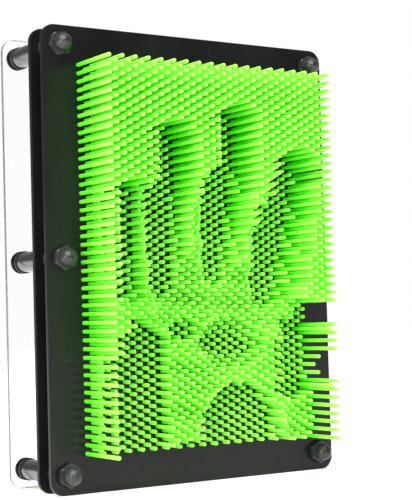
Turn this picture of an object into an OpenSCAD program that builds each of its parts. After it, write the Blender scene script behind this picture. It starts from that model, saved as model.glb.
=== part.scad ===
// Pin art impression toy: a bed of sliding pins in two drilled black plates, with a clear cover behind
// that stops their heads. It stands upright on the plates' lower edges. X runs across the plates, Y from
// the open front to the cover, and Z up. The origin is the middle of the footprint, on the table.

/* [Plates] */
// Width of all three plates
plate_w = 150; // [146:1:180]
// Height of all three plates
plate_h = 200; // [196:1:230]
// Thickness of each plate
plate_t = 2; // [1.5:0.5:3]
// Radius of the plates' corners
corner_r = 6; // [2:0.5:9]
// Clear gap between the two black plates
plate_gap = 9; // [6:0.5:12]
// Clear gap between the guide plate and the clear cover
cover_gap = 25; // [20:0.5:30]

/* [Pins] */
// Number of columns across the bed
pin_cols = 37; // [5:2:37]
// Number of pins in the first column; every second column has one fewer
pin_rows = 46; // [6:1:46]
// Distance between pins, the same in all six directions
pin_pitch = 3.7; // [3.6:0.02:3.7]
// Diameter of a pin's shaft
pin_d = 1.8; // [1.4:0.1:2]
// Length of a pin's shaft, from under its head to the tip
pin_len = 40.8; // [34:0.2:50]
// Diameter of a pin's head
head_d = 2.8; // [2.4:0.1:3.2]
// Thickness of a pin's head
head_t = 1.2; // [0.8:0.1:2]
// Gap all round a shaft in its hole
pin_clearance = 0.15; // [0.1:0.05:0.3]
// Gap left at a head when it meets its stop
stop_gap = 0.2; // [0.1:0.05:0.4]

/* [Fasteners] */
// Distance from the plates' edges to the bolts
bolt_inset = 8.3; // [7.5:0.1:8.5]
// Diameter of a bolt
bolt_d = 4; // [3:0.5:5]
// Diameter of the clearance holes for the bolts
bolt_hole_d = 4.4; // [3.4:0.1:5.4]
// Diameter of a bolt's head
bolt_head_d = 10; // [7:0.5:10]
// Thickness of a bolt's head
bolt_head_t = 2.2; // [1.5:0.1:3]
// Outer diameter of the spacers and of the long standoff tubes
tube_d = 9; // [7:0.5:10]
// Outer diameter of the washers between the standoff tubes and the cover
washer_d = 10; // [8:0.5:10]
// Thickness of a washer
washer_t = 1.5; // [0.5:0.1:3]
// Width of a cap nut across its flats
nut_w = 9.5; // [8:0.5:10]
// Thickness of a cap nut's hexagon
nut_hex_t = 2.6; // [2:0.1:5]
// Diameter of a cap nut's dome
dome_d = 7.8; // [7:0.1:9]
// Height of a cap nut
nut_h = 7.9; // [7.5:0.1:12]
// How far each cap nut is turned, in degrees: left side from the bottom up, then the right side
nut_turns = [3, 6, 20, 2, 14, 5];

/* [Hand print] */
// How much less a pin at a finger's edge is pressed than one at its middle
finger_round = 20; // [10:1:28]
// Little finger: tip x and z, knuckle x and z, half width, press at the tip, press at the knuckle
little_finger = [-44.6, 123.5, -44.6, 88, 8.8, 32, 26];
// Ring finger, as above
ring_finger = [-24, 150, -24, 90, 9.2, 36, 26];
// Middle finger, as above
middle_finger = [8.5, 158, 3, 92, 10, 36, 22];
// Index finger, as above
index_finger = [41, 138, 30, 84, 11, 34, 24];
// Outer edge of the palm, as a thick finger
palm_edge = [-38.5, 57, -39, 12, 16, 36, 36];
// Ball of the thumb, as a short finger
thumb_ball = [45.6, 62, 45.2, 44, 9.8, 34, 34];
// Side of the ring finger: centre x and z, half width, half height, press, rounding
ring_side = [-31, 108, 8, 28, 13, 9];
// Side of the middle finger, as above
middle_side = [-7, 104, 8, 32, 14, 10];
// Side of the index finger, as above
index_side = [23, 100, 8, 26, 14, 9];
// Knuckle of the little finger, as above
little_knuckle = [-36, 82, 17, 13, 12, 4];
// Knuckle of the ring finger, as above
ring_knuckle = [-14, 83, 18, 17, 19, 6];
// Knuckle of the middle finger, as above
middle_knuckle = [16, 82, 20, 16, 18.5, 6];
// Knuckle of the index finger, as above
index_knuckle = [43, 72.5, 12, 8, 16, 4];
// Pad below the middle finger, as above
palm_pad = [10, 62, 17, 12, 24, 9];
// Crease below the ring finger, as above
palm_crease = [-14, 68, 8, 5, 23, 6];
// Web between the thumb and the index finger, as above
thumb_web = [56, 74.2, 8, 4.8, 26, 6];
// Hollow of the palm, as above
palm_hollow = [-5, 48, 49, 42, 16, 7];
// Heel of the palm, as above
palm_heel = [15, 20, 20.5, 24, 34, 18];
// Wrist, as above
wrist = [8, 10, 42, 11, 34, 18];
// Side of the wrist, as above
wrist_side = [47.5, 26, 10.2, 19, 17, 5];
// Edge of the thumb, in the last column, as above
thumb_edge = [58, 50, 2, 5.2, 15, 6];
// How much a half pressed pin may stick out more or less than the hand left it
unevenness = 1.6; // [0:0.1:2.5]

/* [Hidden] */
$fn = 64;

// Stack from front to back, measured from the front plate's outer face
stack_t = 3 * plate_t + plate_gap + cover_gap;
guide_y = plate_t + plate_gap;
cover_y = guide_y + plate_t + cover_gap;

// Reach of a free pin beyond the front plate, and how far it can be pressed
pin_reach = pin_len - stop_gap - 2 * plate_t - plate_gap;
travel = cover_gap - head_t - 2 * stop_gap;

// The origin is midway between the free pins' tips and the bolt heads
front_y = (pin_reach - stack_t - bolt_head_t) / 2;

col_pitch = pin_pitch * sqrt(3) / 2;
hole_d = pin_d + 2 * pin_clearance;
bolt_x = plate_w / 2 - bolt_inset;
bolt_z = [bolt_inset, plate_h / 2, plate_h - bolt_inset];
bolt_places = [for (x = [-bolt_x, bolt_x]) for (z = bolt_z) [x, z]];

// How deep a bolt reaches into its cap nut, and the room past its end
nut_grip = 5;
nut_room = 0.4;
edge_break = 0.4;

// Pins between free and fully pressed are grouped by how far in they are
STEPS = 8;
step_t = travel / STEPS;

// Lines that part the bed into its regions: above the hand, beside it, below the fingers, between the
// fingers from little to index, and between the palm's edge, its heel and the ball of the thumb
field_bottom = 166;
side_x = 48;
palm_top = 80;
finger_split = [-35, -12, 22];
palm_split = [-20, 38];

// ---------- the hand print ----------

// How much a rounded shape lets up from its middle (0) to its edge (1)
function round_off(s) = 1 - sqrt(1 - s * s);

// Press under a finger: straight sides, domed ends, from the tip's press to the knuckle's
function finger_depth(p, f) =
    let (along = [f[2] - f[0], f[3] - f[1]],
         to = [p[0] - f[0], p[1] - f[1]],
         t = max(0, min(1, (to * along) / (along * along))),
         s = norm(to - t * along) / f[4])
    s >= 1 ? 0 : f[5] + (f[6] - f[5]) * t - finger_round * round_off(s);

// Press under an oval pad
function pad_depth(p, f) =
    let (s = norm([(p[0] - f[0]) / f[2], (p[1] - f[1]) / f[3]]))
    s >= 1 ? 0 : f[4] - f[5] * round_off(s);

FINGERS = [little_finger, ring_finger, middle_finger, index_finger, palm_edge, thumb_ball];
PADS = [ring_side, middle_side, index_side, little_knuckle, ring_knuckle, middle_knuckle, index_knuckle,
        palm_pad, palm_crease, thumb_web, thumb_edge, palm_hollow, palm_heel, wrist, wrist_side];

// The deepest shape over a pin
function hand_depth(p) =
    max(concat([0], [for (f = FINGERS) finger_depth(p, f)], [for (f = PADS) pad_depth(p, f)]));

// A number from -1 to 1 that looks random and is always the same for a place
function scatter(p) = sin(7919 * p[0] + 104.7 * p[1]) * cos(3571 * p[1] - 59.3 * p[0]);

// Press of a pin: what the hand gives, a little uneven, up to the stop on the cover
function press_depth(p) =
    let (depth = hand_depth(p))
    depth <= 0 ? 0 : min(travel, max(0, depth + unevenness * scatter(p)));

// ---------- the pin bed ----------

// Centre of a pin in X and Z; every second column sits half a pitch higher
function pin_place(c, r) =
    [(c - (pin_cols - 1) / 2) * col_pitch,
     plate_h / 2 + (r - (pin_rows - 1) / 2 + (c % 2) / 2) * pin_pitch];

PINS = [for (c = [0 : pin_cols - 1]) for (r = [0 : pin_rows - 1 - c % 2]) pin_place(c, r)];
PRESSES = [for (p = PINS) press_depth(p)];

// 0 is a free pin, STEPS + 1 a fully pressed one, and the rest are bands of travel
function step_of(press) =
    press <= 0 ? 0 :
    press >= travel ? STEPS + 1 : min(STEPS, 1 + floor(press / step_t));

function free_region(p) =
    p[1] > field_bottom ? "free_top" :
    p[0] < -side_x ? "free_left" :
    p[0] > side_x ? "free_right" : "free_between_fingers";

function pressed_region(p) =
    p[1] < palm_top ? (p[0] < palm_split[0] ? "pressed_palm_edge" :
                       p[0] > palm_split[1] ? "pressed_thumb_ball" : "pressed_palm_heel") :
    p[0] < finger_split[0] ? "pressed_little_finger" :
    p[0] < finger_split[1] ? "pressed_ring_finger" :
    p[0] < finger_split[2] ? "pressed_middle_finger" : "pressed_index_finger";

function bank_of(p, press) =
    let (step = step_of(press))
    step == 0 ? free_region(p) :
    step == STEPS + 1 ? pressed_region(p) :
    str(p[1] > palm_top ? "fingers_step_" : "palm_step_", step);

PIN_BANKS = [for (i = [0 : len(PINS) - 1]) bank_of(PINS[i], PRESSES[i])];

FREE_BANKS = ["free_top", "free_left", "free_right", "free_between_fingers"];
PRESSED_BANKS = ["pressed_little_finger", "pressed_ring_finger", "pressed_middle_finger",
                 "pressed_index_finger",
                 "pressed_palm_edge", "pressed_palm_heel", "pressed_thumb_ball"];
STEP_BANKS = [for (part = ["fingers_step_", "palm_step_"]) for (step = [1 : STEPS]) str(part, step)];

// Only banks that hold a pin are built
function in_use(bank) = len([for (b = PIN_BANKS) if (b == bank) 1]) > 0;
BANKS = [for (bank = concat(FREE_BANKS, PRESSED_BANKS, STEP_BANKS)) if (in_use(bank)) bank];

function bank_node(bank) = str("pins_", bank);

// ---------- shared shapes ----------

// Turns a shape drawn along +Z so that it runs back along +Y, and sets it at a depth in the stack
module at_depth(y) {
    translate([0, front_y + y, 0]) rotate([-90, 0, 0]) children();
}

// Repeats a shape at the six bolts, at a depth in the stack
module at_bolts(y) {
    for (p = bolt_places) translate([p[0], 0, p[1]]) at_depth(y) children();
}

// Plate outline with round corners, from the table up
module plate_outline() {
    union() {
        translate([-plate_w / 2 + corner_r, 0]) square([plate_w - 2 * corner_r, plate_h]);
        translate([-plate_w / 2, corner_r]) square([plate_w, plate_h - 2 * corner_r]);
        for (x = [-1, 1]) for (z = [corner_r, plate_h - corner_r])
            translate([x * (plate_w / 2 - corner_r), z]) circle(r = corner_r);
    }
}

module bolt_holes() {
    for (p = bolt_places) translate(p) circle(d = bolt_hole_d);
}

module pin_holes() {
    for (p = PINS) translate(p) circle(d = hole_d);
}

// Stands a plate up at a depth in the stack, from its flat outline
module standing_plate(y) {
    translate([0, front_y + y + plate_t, 0]) rotate([90, 0, 0]) linear_extrude(plate_t) children();
}

module drilled_plate(y) {
    standing_plate(y) difference() {
        plate_outline();
        bolt_holes();
        pin_holes();
    }
}

module ring(d, length) {
    difference() {
        cylinder(d = d, h = length);
        translate([0, 0, -1]) cylinder(d = bolt_hole_d, h = length + 2);
    }
}

// ---------- fixed pieces ----------

module front_plate() {
    color([0.13, 0.13, 0.14]) drilled_plate(0);
}

module guide_plate() {
    color([0.1, 0.1, 0.11]) drilled_plate(guide_y);
}

module clear_cover() {
    color([0.85, 0.92, 0.95, 0.4]) standing_plate(cover_y) difference() {
        plate_outline();
        bolt_holes();
    }
}

module plate_spacers() {
    color([0.2, 0.2, 0.21]) at_bolts(plate_t) ring(tube_d, plate_gap);
}

module standoff_tubes() {
    color([0.3, 0.3, 0.32]) at_bolts(guide_y + plate_t) ring(tube_d, cover_gap - washer_t);
}

module cover_washers() {
    color([0.08, 0.08, 0.08]) at_bolts(cover_y - washer_t) ring(washer_d, washer_t);
}

// Pan head on the cover's back, with a cross recess, and a shank that reaches into the cap nut
module bolt() {
    recess_l = bolt_head_d * 0.5;
    recess_w = 1;
    recess_t = 1;
    difference() {
        union() {
            translate([0, 0, -nut_grip]) cylinder(d = bolt_d, h = stack_t + nut_grip + edge_break);
            translate([0, 0, stack_t]) cylinder(d = bolt_head_d, h = bolt_head_t / 2);
            translate([0, 0, stack_t + bolt_head_t / 2])
                cylinder(d1 = bolt_head_d, d2 = bolt_head_d - bolt_head_t, h = bolt_head_t / 2);
        }
        for (turn = [0, 90]) rotate(turn)
            translate([-recess_l / 2, -recess_w / 2, stack_t + bolt_head_t - recess_t])
                cube([recess_l, recess_w, recess_t + 1]);
    }
}

module bolts() {
    color([0.12, 0.12, 0.13]) at_bolts(0) bolt();
}

// Hexagon with a domed cap and a small dimple in its tip; a blind hole takes the bolt
module cap_nut() {
    corner_d = nut_w * 2 / sqrt(3);
    dome_z = nut_h - dome_d / 2;
    dimple_d = 1.2;
    difference() {
        union() {
            intersection() {
                rotate(30) cylinder(d = corner_d, h = nut_hex_t, $fn = 6);
                union() {
                    cylinder(d = corner_d + 1, h = nut_hex_t - edge_break);
                    translate([0, 0, nut_hex_t - edge_break])
                        cylinder(d1 = corner_d, d2 = corner_d - 3 * edge_break, h = edge_break);
                }
            }
            cylinder(d = dome_d, h = dome_z);
            translate([0, 0, dome_z]) sphere(d = dome_d);
        }
        translate([0, 0, -dome_d]) cylinder(d = dome_d * 2, h = dome_d);
        translate([0, 0, -1]) cylinder(d = bolt_d + 0.1, h = nut_grip + nut_room + 1);
        translate([0, 0, nut_h]) sphere(d = dimple_d);
    }
}

module cap_nuts() {
    color([0.16, 0.16, 0.17]) for (i = [0 : len(bolt_places) - 1])
        translate([bolt_places[i][0], front_y, bolt_places[i][1]]) rotate([90, nut_turns[i], 0]) cap_nut();
}

// ---------- moving pins ----------

// Round-tipped shaft with a flat head at its back end; z = 0 is the tip
module pin() {
    rotate_extrude() union() {
        translate([0, pin_d / 2]) square([pin_d / 2, pin_len - pin_d / 2]);
        translate([0, pin_len]) square([head_d / 2, head_t]);
        intersection() {
            translate([0, pin_d / 2]) circle(d = pin_d);
            square([pin_d / 2, pin_d / 2]);
        }
    }
}

// All pins of one bank, each as deep as the hand has left it
module pin_bank(bank) {
    color([0.35, 0.95, 0.2])
        for (i = [0 : len(PINS) - 1]) if (PIN_BANKS[i] == bank)
            translate([PINS[i][0], 0, PINS[i][1]]) at_depth(PRESSES[i] - pin_reach) pin();
}

front_plate();
guide_plate();
clear_cover();
plate_spacers();
standoff_tubes();
cover_washers();
bolts();
cap_nuts();
for (bank = BANKS) pin_bank(bank);
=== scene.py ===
import math

import bmesh
import bpy
import numpy as np
from mathutils import Matrix, Vector


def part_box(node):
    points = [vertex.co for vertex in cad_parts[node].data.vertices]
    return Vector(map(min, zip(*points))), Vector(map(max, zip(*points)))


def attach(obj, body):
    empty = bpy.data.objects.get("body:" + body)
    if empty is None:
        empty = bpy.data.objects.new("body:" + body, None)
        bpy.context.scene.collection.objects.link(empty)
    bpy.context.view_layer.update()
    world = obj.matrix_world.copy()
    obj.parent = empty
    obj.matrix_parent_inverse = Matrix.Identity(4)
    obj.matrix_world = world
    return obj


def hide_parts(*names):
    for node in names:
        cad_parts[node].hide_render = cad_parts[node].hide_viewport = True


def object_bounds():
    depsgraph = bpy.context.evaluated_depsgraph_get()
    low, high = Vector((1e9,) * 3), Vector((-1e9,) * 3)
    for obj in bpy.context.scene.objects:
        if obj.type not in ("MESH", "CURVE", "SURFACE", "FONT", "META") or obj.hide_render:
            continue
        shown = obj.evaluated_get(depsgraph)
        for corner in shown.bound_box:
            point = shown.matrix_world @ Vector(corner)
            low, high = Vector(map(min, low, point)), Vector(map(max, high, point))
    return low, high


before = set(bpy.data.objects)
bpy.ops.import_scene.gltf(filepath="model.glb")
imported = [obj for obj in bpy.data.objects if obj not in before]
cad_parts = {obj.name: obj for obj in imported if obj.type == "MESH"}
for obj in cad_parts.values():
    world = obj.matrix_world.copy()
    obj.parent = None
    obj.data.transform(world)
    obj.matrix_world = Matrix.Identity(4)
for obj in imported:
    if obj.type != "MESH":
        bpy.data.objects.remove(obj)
cad_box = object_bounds()
plate_low, plate_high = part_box("front_plate")

# ---------- sizes, in metres ----------

PIN_PITCH = 0.0037           # pins stand in a triangular pattern
PIN_R = 0.0009
HEAD_R = 0.0014
HEAD_T = 0.0012
HEAD_EDGE = 0.00015          # chamfer on the side of a head that faces its shaft
HEAD_CROWN = 0.0003          # rounding of a head's back
CROWN_RISE = 0.00004         # how much higher the middle of a head's back is than that rounding's start
PIN_SIDES = 14
TIP_RINGS = 5
LEAN = 0.22                  # how far a pin may lean in its holes, in degrees
PIVOT = 0.0224               # from a tip to the middle of the stretch that slides through the holes
EDGE_BREAK = 0.00016         # small bevel on spacers and washers
TUBE_CHAMFER = 0.0004
BOLT_BREAK = 0.00015
NUT_BREAK = 0.00025
PLATE_BREAK = 0.00026        # polished bevel along the plates' outlines
OUTLINE_BAND = 0.0058        # how far in from a plate's outline its round corners reach
WELD = 2e-6                  # points closer than this are one point
SHARP = math.radians(32)     # edges that turn more than this are edges of the shape
PIN_SHARP = math.radians(50)
COPLANAR = math.radians(1)

FLOOR_HALF = 3.0
FLOOR_GAP = 0.0001           # keeps the floor from flickering through the plates' lower edges

# Lights: offset from the object's middle, side of the square, watts
KEY_LIGHT = (Vector((-0.65, -0.8, 1.3)), 1.7, 50.0)
SIDE_LIGHT = (Vector((-1.3, -0.55, 0.2)), 0.35, 6.0)

# Camera: its place from the middle of the front plate's lower edge, and its turns in degrees
LENS_PLACE = Vector((-0.34387, -0.52035, 0.07335))
LENS_YAW = -33.909
LENS_RISE = 2.772
LENS_ROLL = -1.606
LENS_MM = 99.75
SENSOR_MM = 36.0

# ---------- shader maths ----------

# The colour sockets of a Mix node, which share their names with its other kinds
MIX_SHARE = 0
MIX_A = 6
MIX_B = 7
MIX_OUT = 2


class Value:
    """A shader socket that takes part in Python expressions."""

    def __init__(self, graph, socket):
        self.graph = graph
        self.socket = socket

    def _math(self, operation, a, b):
        return self.graph.node("ShaderNodeMath", {"operation": operation}, {0: a, 1: b})[0]

    def __add__(self, other):
        return self._math("ADD", self, other)

    def __radd__(self, other):
        return self._math("ADD", other, self)

    def __sub__(self, other):
        return self._math("SUBTRACT", self, other)

    def __rsub__(self, other):
        return self._math("SUBTRACT", other, self)

    def __mul__(self, other):
        return self._math("MULTIPLY", self, other)

    def __rmul__(self, other):
        return self._math("MULTIPLY", other, self)


class Outputs:
    """A node's outputs, by name or number, each as a Value."""

    def __init__(self, graph, node):
        self.graph = graph
        self.made = node

    def __getitem__(self, key):
        return Value(self.graph, self.made.outputs[key])


class Graph:
    """A new material and the nodes in it, or the nodes of a tree that is there already."""

    def __init__(self, name, tree=None):
        self.material = None if tree else bpy.data.materials.new(name)
        if self.material:
            self.material.use_nodes = True
        self.tree = tree or self.material.node_tree
        self.tree.nodes.clear()

    def node(self, kind, settings=None, inputs=None):
        made = self.tree.nodes.new(kind)
        for key, value in (settings or {}).items():
            setattr(made, key, value)
        for key, value in (inputs or {}).items():
            if isinstance(value, Value):
                self.tree.links.new(value.socket, made.inputs[key])
            else:
                made.inputs[key].default_value = value
        return Outputs(self, made)

    def place(self):
        return self.node("ShaderNodeTexCoord")["Object"]

    def stretched(self, scale):
        """Object coordinates scaled unevenly, for grain and brushing."""
        return self.node("ShaderNodeVectorMath", {"operation": "MULTIPLY"}, {0: self.place(), 1: scale})[0]

    def noise(self, scale, detail=3.0, rough=0.5, where=None):
        sockets = {"Vector": where or self.place(), "Scale": scale, "Detail": detail, "Roughness": rough}
        return self.node("ShaderNodeTexNoise", None, sockets)["Fac"]

    def ramp(self, value, low, high):
        """0 below low, 1 above high, smooth between."""
        sockets = {"Value": value, "From Min": low, "From Max": high}
        return self.node("ShaderNodeMapRange", {"interpolation_type": "SMOOTHSTEP"}, sockets)["Result"]

    def mix(self, share, a, b):
        """Colour a where share is 0 and colour b where it is 1, by the Mix node's colour sockets."""
        sockets = {MIX_SHARE: share, MIX_A: a, MIX_B: b}
        return self.node("ShaderNodeMix", {"data_type": "RGBA"}, sockets)[MIX_OUT]

    def attribute(self, name):
        return self.node("ShaderNodeAttribute", {"attribute_name": name})["Fac"]

    def bump(self, height, strength, distance):
        sockets = {"Height": height, "Strength": strength, "Distance": distance}
        return self.node("ShaderNodeBump", None, sockets)["Normal"]

    def surface(self, **sockets):
        """Ends the graph in a Principled shader with these sockets."""
        named = {key.replace("_", " "): value for key, value in sockets.items()}
        shader = self.node("ShaderNodeBsdfPrincipled", None, named)["BSDF"]
        self.node("ShaderNodeOutputMaterial", None, {"Surface": shader})
        return self.material


def rgb(r, g, b):
    return (r, g, b, 1.0)


# ---------- finishes ----------


def neon_pin_plastic():
    """Fluorescent green rod with painted light: a painted highlight at the tip, painted shade darkening the
    shaft towards the plate and a painted green glow in its shadows; frosted at the tip, no two quite alike.
    """
    g = Graph("neon_pin_plastic")
    tone = g.attribute("tone")
    along = g.attribute("along")
    # Painted shade along each rod: pale green towards the tip as painted light, and a darker, richer green
    # towards the plate, where neighbouring pins shade the shafts.
    shaded_green = g.mix(tone, rgb(0.10, 0.76, 0.014), rgb(0.15, 0.85, 0.024))
    pale = g.mix(tone, rgb(0.34, 0.93, 0.09), rgb(0.42, 0.98, 0.13))
    lit_share = 1 - g.ramp(along, 0.12, 0.6)
    tip = 1 - g.ramp(along, 0.01, 0.085)
    mottle = g.ramp(g.noise(900, 2.0), 0.35, 0.7)
    shaft = g.mix(lit_share * (1 - mottle * 0.2), shaded_green, pale)
    # Painted highlight: the tip is mixed towards a paler green.
    colour = g.mix(tip * 0.4, shaft, rgb(0.38, 1.0, 0.14))
    scuffs = g.ramp(g.noise(1.0, 4.0, 0.6, g.stretched((2600, 240, 2600))), 0.45, 0.75)
    rough = 0.3 + scuffs * 0.16 + tip * 0.2
    height = g.noise(1500, 2.0) * 0.5 + scuffs * 0.5
    return g.surface(
        Base_Color=colour, Roughness=rough, Normal=g.bump(height, 0.16, 0.0001),
        # Painted glow: a faint green emission that lifts the rods' shadows.
        Emission_Color=rgb(0.004, 0.72, 0.002), Emission_Strength=0.09,
        IOR=1.42, Coat_Weight=0.08, Coat_Roughness=0.12,
    )


def black_plate_plastic(name, low, high, gloss):
    """Satin black sheet: fine orange peel, faint smears, a few hairline scratches and dust specks."""
    g = Graph(name)
    smears = g.ramp(g.noise(1.0, 3.0, 0.55, g.stretched((26, 60, 11))), 0.4, 0.75)
    hair = g.ramp(g.noise(1.0, 2.0, 0.5, g.stretched((1500, 1500, 22))), 0.70, 0.74)
    dust = g.ramp(g.noise(1500, 1.0), 0.77, 0.82)
    base = g.mix(smears, rgb(low, low, low * 1.08), rgb(high, high, high * 1.08))
    base = g.mix(hair * 0.2, base, rgb(0.07, 0.07, 0.075))
    base = g.mix(dust * 0.5, base, rgb(0.16, 0.16, 0.15))
    rough = gloss + smears * 0.10 + hair * 0.12 + dust * 0.2
    height = g.noise(1100, 2.0) + hair * -0.4
    return g.surface(Base_Color=base, Roughness=rough, Normal=g.bump(height, 0.10, 0.00012), IOR=1.33)


def clear_sheet_face():
    """Polished acrylic face: nearly all light passes, with a thin mirror sheen and a few wipe marks."""
    g = Graph("clear_sheet_face")
    wipes = g.ramp(g.noise(1.0, 3.0, 0.5, g.stretched((18, 40, 55))), 0.45, 0.8)
    gloss = g.node("ShaderNodeFresnel", None, {"IOR": 1.49})["Fac"]
    alpha = gloss * 0.4 + 0.002 + wipes * 0.008
    rough = 0.03 + wipes * 0.12
    return g.surface(Base_Color=rgb(0.93, 0.96, 0.97), Metallic=0.85, Roughness=rough, Alpha=alpha)


def clear_sheet_edge():
    """Polished acrylic edge: a denser grey-green line with saw marks."""
    g = Graph("clear_sheet_edge")
    saw = g.noise(1.0, 2.0, 0.5, g.stretched((400, 90, 400)))
    colour = g.mix(g.ramp(saw, 0.35, 0.65), rgb(0.10, 0.11, 0.11), rgb(0.17, 0.18, 0.18))
    rough = 0.12 + saw * 0.2
    return g.surface(Base_Color=colour, Roughness=rough, Alpha=0.93, Normal=g.bump(saw, 0.2, 0.0002))


def moulded_black(name, low, high, rough):
    """Moulded black plastic with a fine grain."""
    g = Graph(name)
    grain = g.noise(1800, 3.0)
    patch = g.ramp(g.noise(160, 2.0), 0.35, 0.7)
    colour = g.mix(patch, rgb(low, low, low * 1.04), rgb(high, high, high * 1.05))
    return g.surface(
        Base_Color=colour, Roughness=rough + patch * 0.08, Normal=g.bump(grain, 0.22, 0.00015), IOR=1.5,
    )


def dark_tube_metal():
    """Dark anodised tube with turning lines round it and pale wear in patches."""
    g = Graph("dark_tube_metal")
    turning = g.noise(1.0, 3.0, 0.6, g.stretched((60, 2400, 60)))
    wear = g.ramp(g.noise(220, 4.0, 0.6), 0.58, 0.78)
    colour = g.mix(turning, rgb(0.13, 0.13, 0.135), rgb(0.20, 0.20, 0.205))
    colour = g.mix(wear * 0.25, colour, rgb(0.40, 0.40, 0.41))
    rough = 0.12 + turning * 0.10
    return g.surface(
        Base_Color=colour, Metallic=0.9, Roughness=rough, Normal=g.bump(turning, 0.14, 0.00012),
    )


def black_oxide_steel():
    """Blackened bolt steel: oily sheen, brown-grey rub on the high spots."""
    g = Graph("black_oxide_steel")
    patch = g.ramp(g.noise(380, 4.0, 0.6), 0.45, 0.75)
    colour = g.mix(patch, rgb(0.025, 0.025, 0.027), rgb(0.07, 0.068, 0.065))
    grain = g.noise(2600, 2.0)
    rough = 0.36 + patch * 0.15
    return g.surface(Base_Color=colour, Metallic=0.75, Roughness=rough, Normal=g.bump(grain, 0.25, 0.0001))


def studio_floor():
    """Near-white paper with a painted glow that lights the scene, dimmer near the middle and stronger far
    off, where it runs into the backdrop with no line.
    """
    g = Graph("studio_floor")
    tint = g.noise(6, 2.0)
    away = g.node("ShaderNodeVectorMath", {"operation": "LENGTH"}, {0: g.place()})["Value"]
    # Painted glow: the floor's emission, dimmer near the toy and brighter far off.
    glow = g.mix(g.ramp(away, 0.2, 1.2), rgb(0.46, 0.46, 0.44), rgb(0.9, 0.9, 0.89))
    return g.surface(
        Base_Color=g.mix(tint, rgb(0.93, 0.92, 0.895), rgb(0.95, 0.945, 0.93)), Roughness=0.6,
        Emission_Color=glow, Emission_Strength=1.0, Specular_IOR_Level=0.0,
    )


# ---------- pieces ----------


def new_piece(name, mesh, body, material, node):
    """A visible piece that stands for a CAD node and rides on its body."""
    made = bpy.data.objects.new(name, mesh)
    bpy.context.scene.collection.objects.link(made)
    mesh.materials.append(material)
    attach(made, body)
    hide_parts(node)
    return made


def welded(node):
    """A copy of a CAD node's mesh with its seams joined, as a bmesh."""
    bm = bmesh.new()
    bm.from_mesh(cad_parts[node].data)
    bmesh.ops.remove_doubles(bm, verts=bm.verts, dist=WELD)
    return bm


def close_mesh(bm, name):
    """The bmesh as a mesh with smooth faces and sharp edges."""
    mesh = bpy.data.meshes.new(name)
    bm.to_mesh(mesh)
    bm.free()
    mesh.shade_smooth()
    mesh.set_sharp_from_angle(angle=SHARP)
    return mesh


def soften(bm, edges, width):
    """Breaks these edges with a narrow round bevel."""
    bmesh.ops.bevel(
        bm, geom=edges, offset=width, offset_type="OFFSET", segments=2, profile=0.6,
        affect="EDGES", clamp_overlap=True,
    )


def sharp_edges(bm):
    bm.edges.ensure_lookup_table()
    return [e for e in bm.edges if len(e.link_faces) == 2 and e.calc_face_angle(0) > SHARP]


def level_shading(made):
    """Large flat faces set the shading where they meet an edge break, so they look flat."""
    made.modifiers.new("level_shading", "WEIGHTED_NORMAL").keep_sharp = True
    return made


def plate_piece(node, name, material):
    """A plate with a soft break along its outline; its holes stay crisp."""
    bm = welded(node)

    def on_outline(v):
        by_side = plate_high.x - abs(v.co.x) < OUTLINE_BAND
        by_end = min(v.co.z - plate_low.z, plate_high.z - v.co.z) < OUTLINE_BAND
        return by_side or by_end

    soften(bm, [e for e in sharp_edges(bm) if all(on_outline(v) for v in e.verts)], PLATE_BREAK)
    return level_shading(new_piece(name, close_mesh(bm, name), "frame", material, node))


def hard_piece(node, name, material, width):
    """Small hardware: coplanar facets joined, edges broken, round faces smooth."""
    bm = welded(node)
    bmesh.ops.dissolve_limit(bm, angle_limit=COPLANAR, verts=bm.verts, edges=bm.edges)
    soften(bm, sharp_edges(bm), width)
    return level_shading(new_piece(name, close_mesh(bm, name), "frame", material, node))


def cover_piece():
    """The clear sheet: one finish on its faces and another on its sawn edges."""
    made = plate_piece("clear_cover", "clear_cover_sheet", clear_sheet_face())
    made.data.materials.append(clear_sheet_edge())
    for face in made.data.polygons:
        face.material_index = 0 if abs(face.normal.y) > 0.9 else 1
    return made


def pin_places(node):
    """Centre x, centre z, tip y and end y of each pin in a bank, found by the pattern the pins stand in."""
    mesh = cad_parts[node].data
    points = np.zeros(len(mesh.vertices) * 3, np.float32)
    mesh.vertices.foreach_get("co", points)
    points = points.reshape(-1, 3).astype(float)
    middle = (plate_low.z + plate_high.z) / 2
    column = np.round(points[:, 0] / (PIN_PITCH * math.sqrt(3) / 2)).astype(int)
    lift = np.where(column % 2 == 0, 1, 0)
    row = np.round(((points[:, 2] - middle) / (PIN_PITCH / 2) - lift) / 2).astype(int)
    places = []
    for pin in sorted(set(zip(column.tolist(), row.tolist()))):
        mine = points[(column == pin[0]) & (row == pin[1])]
        low = mine.min(0)
        high = mine.max(0)
        places.append(((low[0] + high[0]) / 2, (low[2] + high[2]) / 2, low[1], high[1]))
    return places


def pin_profile(length):
    """Radius and distance from the tip of each ring, from the round tip to the head's back."""
    rings = [(0.0, 0.0)]
    for step in range(1, TIP_RINGS + 1):
        turn = math.pi / 2 * step / TIP_RINGS
        rings.append((PIN_R * math.sin(turn), PIN_R * (1 - math.cos(turn))))
    shaft_end = length - HEAD_T
    rings += [(PIN_R, shaft_end * share) for share in (0.25, 0.5, 0.75, 1.0)]
    rings += [(HEAD_R - HEAD_EDGE, shaft_end), (HEAD_R, shaft_end + HEAD_EDGE)]
    rings += [(HEAD_R, length - HEAD_CROWN), (HEAD_R - HEAD_CROWN, length - CROWN_RISE), (0.0, length)]
    return rings


def pin_points(x, z, tip, rings, lean, spin):
    """The points of one pin: its tip, its rings and the middle of its head's back."""
    turn = np.linspace(0, 2 * math.pi, PIN_SIDES, endpoint=False) + spin
    points = []
    for radius, along in rings:
        y = tip + along
        centre_x = x + lean[0] * (along - PIVOT)
        centre_z = z + lean[1] * (along - PIVOT)
        if radius == 0.0:
            points.append((centre_x, y, centre_z))
        else:
            circle = zip(centre_x + radius * np.cos(turn), centre_z + radius * np.sin(turn))
            points += [(px, y, pz) for px, pz in circle]
    return points


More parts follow.
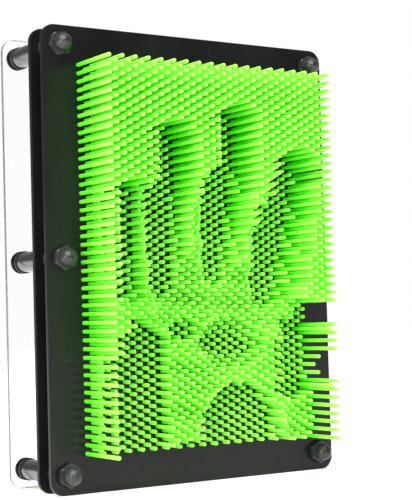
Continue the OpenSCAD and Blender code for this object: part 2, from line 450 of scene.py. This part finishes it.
def pin_faces(ring_count, base):
    """The faces of one pin whose first point has the number base: a fan, bands of quads and a fan."""
    n = PIN_SIDES
    first = base + 1
    back = first + (ring_count - 2) * n
    faces = [(base, first + k, first + (k + 1) % n) for k in range(n)]
    for ring in range(ring_count - 3):
        a = first + ring * n
        b = a + n
        faces += [(a + k, b + k, b + (k + 1) % n, a + (k + 1) % n) for k in range(n)]
    faces += [(back, back - n + (k + 1) % n, back - n + k) for k in range(n)]
    return faces


def pin_bank(node, material, rng):
    """Every pin of a bank as a fine turned rod that leans a little in its holes."""
    points, faces, tones, alongs = [], [], [], []
    for x, z, tip, end in pin_places(node):
        length = end - tip
        rings = pin_profile(length)
        lean = np.tan(np.radians(rng.uniform(-LEAN, LEAN, 2)))
        tone = rng.uniform()
        spin = rng.uniform(0, math.pi)
        faces += pin_faces(len(rings), len(points))
        points += pin_points(x, z, tip, rings, lean, spin)
        for radius, along in rings:
            alongs += [along / length] * (PIN_SIDES if radius else 1)
        tones += [tone] * (len(points) - len(tones))
    name = node + "_rods"
    mesh = bpy.data.meshes.new(name)
    mesh.from_pydata(points, [], faces)
    for key, data in (("tone", tones), ("along", alongs)):
        mesh.attributes.new(key, "FLOAT", "POINT").data.foreach_set("value", data)
    mesh.shade_smooth()
    mesh.set_sharp_from_angle(angle=PIN_SHARP)
    return new_piece(name, mesh, node, material, node)


# ---------- room, light and camera ----------


def studio(low, high):
    """Floor, backdrop, a large key light above the front left and a small light low on the left."""
    bm = bmesh.new()
    bmesh.ops.create_grid(bm, x_segments=8, y_segments=8, size=FLOOR_HALF)
    mesh = bpy.data.meshes.new("floor")
    bm.to_mesh(mesh)
    bm.free()
    floor = bpy.data.objects.new("floor", mesh)
    floor.location = (0, 0, low.z - FLOOR_GAP)
    mesh.materials.append(studio_floor())
    bpy.context.scene.collection.objects.link(floor)

    backdrop()
    middle = (low + high) / 2
    softbox("key_light", middle, *KEY_LIGHT)
    softbox("side_light", middle, *SIDE_LIGHT)


def backdrop():
    """White all round to the eye; as light it is bright low, overhead and far right, and dim elsewhere."""
    world = bpy.data.worlds.new("backdrop")
    world.use_nodes = True
    g = Graph("backdrop_maths", world.node_tree)
    place = g.node("ShaderNodeTexCoord")["Generated"]
    split = g.node("ShaderNodeSeparateXYZ", None, {"Vector": place})
    right = g.ramp(split["X"], -0.2, 0.7)
    behind = g.ramp(split["Y"], -0.2, 0.5)
    above = g.ramp(split["Z"], -0.02, 0.12)
    overhead = g.ramp(split["Z"], 0.6, 0.95)
    light = 1 - above * (0.82 - behind * right * 0.5 - overhead * 0.25)
    seen = g.node("ShaderNodeLightPath")["Is Camera Ray"]
    strength = light + (1.0 - light) * seen
    glow = g.node("ShaderNodeBackground", None, {"Color": rgb(1, 1, 1), "Strength": strength})
    g.node("ShaderNodeOutputWorld", None, {"Surface": glow["Background"]})
    bpy.context.scene.world = world


def softbox(name, target, offset, size, power):
    """A square light of this size and power, at this offset from what it points at."""
    light = bpy.data.lights.new(name, "AREA")
    light.shape = "SQUARE"
    light.size = size
    light.energy = power
    made = bpy.data.objects.new(name, light)
    made.location = target + offset
    made.rotation_mode = "QUATERNION"
    made.rotation_quaternion = (-offset).to_track_quat("-Z", "Y")
    bpy.context.scene.collection.objects.link(made)


def camera():
    """Low view from the front left: the plates turn away to the right."""
    data = bpy.data.cameras.new("camera")
    data.sensor_width = SENSOR_MM
    data.lens = LENS_MM
    data.clip_start = 0.05
    data.clip_end = 20.0
    made = bpy.data.objects.new("camera", data)
    foot = Vector(((plate_low.x + plate_high.x) / 2, plate_low.y, plate_low.z))
    yaw = Matrix.Rotation(math.radians(LENS_YAW), 4, "Z")
    rise = Matrix.Rotation(math.radians(90 + LENS_RISE), 4, "X")
    roll = Matrix.Rotation(math.radians(LENS_ROLL), 4, "Z")
    made.matrix_world = Matrix.Translation(foot + LENS_PLACE) @ yaw @ rise @ roll
    bpy.context.scene.collection.objects.link(made)
    bpy.context.scene.camera = made


# ---------- the toy ----------

front_finish = black_plate_plastic("front_plate_plastic", 0.005, 0.008, 0.24)
guide_finish = black_plate_plastic("guide_plate_plastic", 0.004, 0.006, 0.42)
plate_piece("front_plate", "front_plate_sheet", front_finish)
plate_piece("guide_plate", "guide_plate_sheet", guide_finish)
cover_piece()
spacer_finish = moulded_black("spacer_plastic", 0.02, 0.03, 0.45)
washer_finish = moulded_black("washer_rubber", 0.012, 0.02, 0.55)
nut_finish = moulded_black("nut_plastic", 0.020, 0.030, 0.26)
hard_piece("plate_spacers", "plate_spacer_tubes", spacer_finish, EDGE_BREAK)
hard_piece("standoff_tubes", "standoff_tube_set", dark_tube_metal(), TUBE_CHAMFER)
hard_piece("cover_washers", "cover_washer_set", washer_finish, EDGE_BREAK)
hard_piece("bolts", "bolt_set", black_oxide_steel(), BOLT_BREAK)
hard_piece("cap_nuts", "cap_nut_set", nut_finish, NUT_BREAK)

rods = neon_pin_plastic()
rng = np.random.default_rng(37)
for node in sorted(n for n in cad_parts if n.startswith("pins_")):
    pin_bank(node, rods, rng)

studio(*cad_box)
camera()
bpy.context.scene.view_settings.view_transform = "Standard"
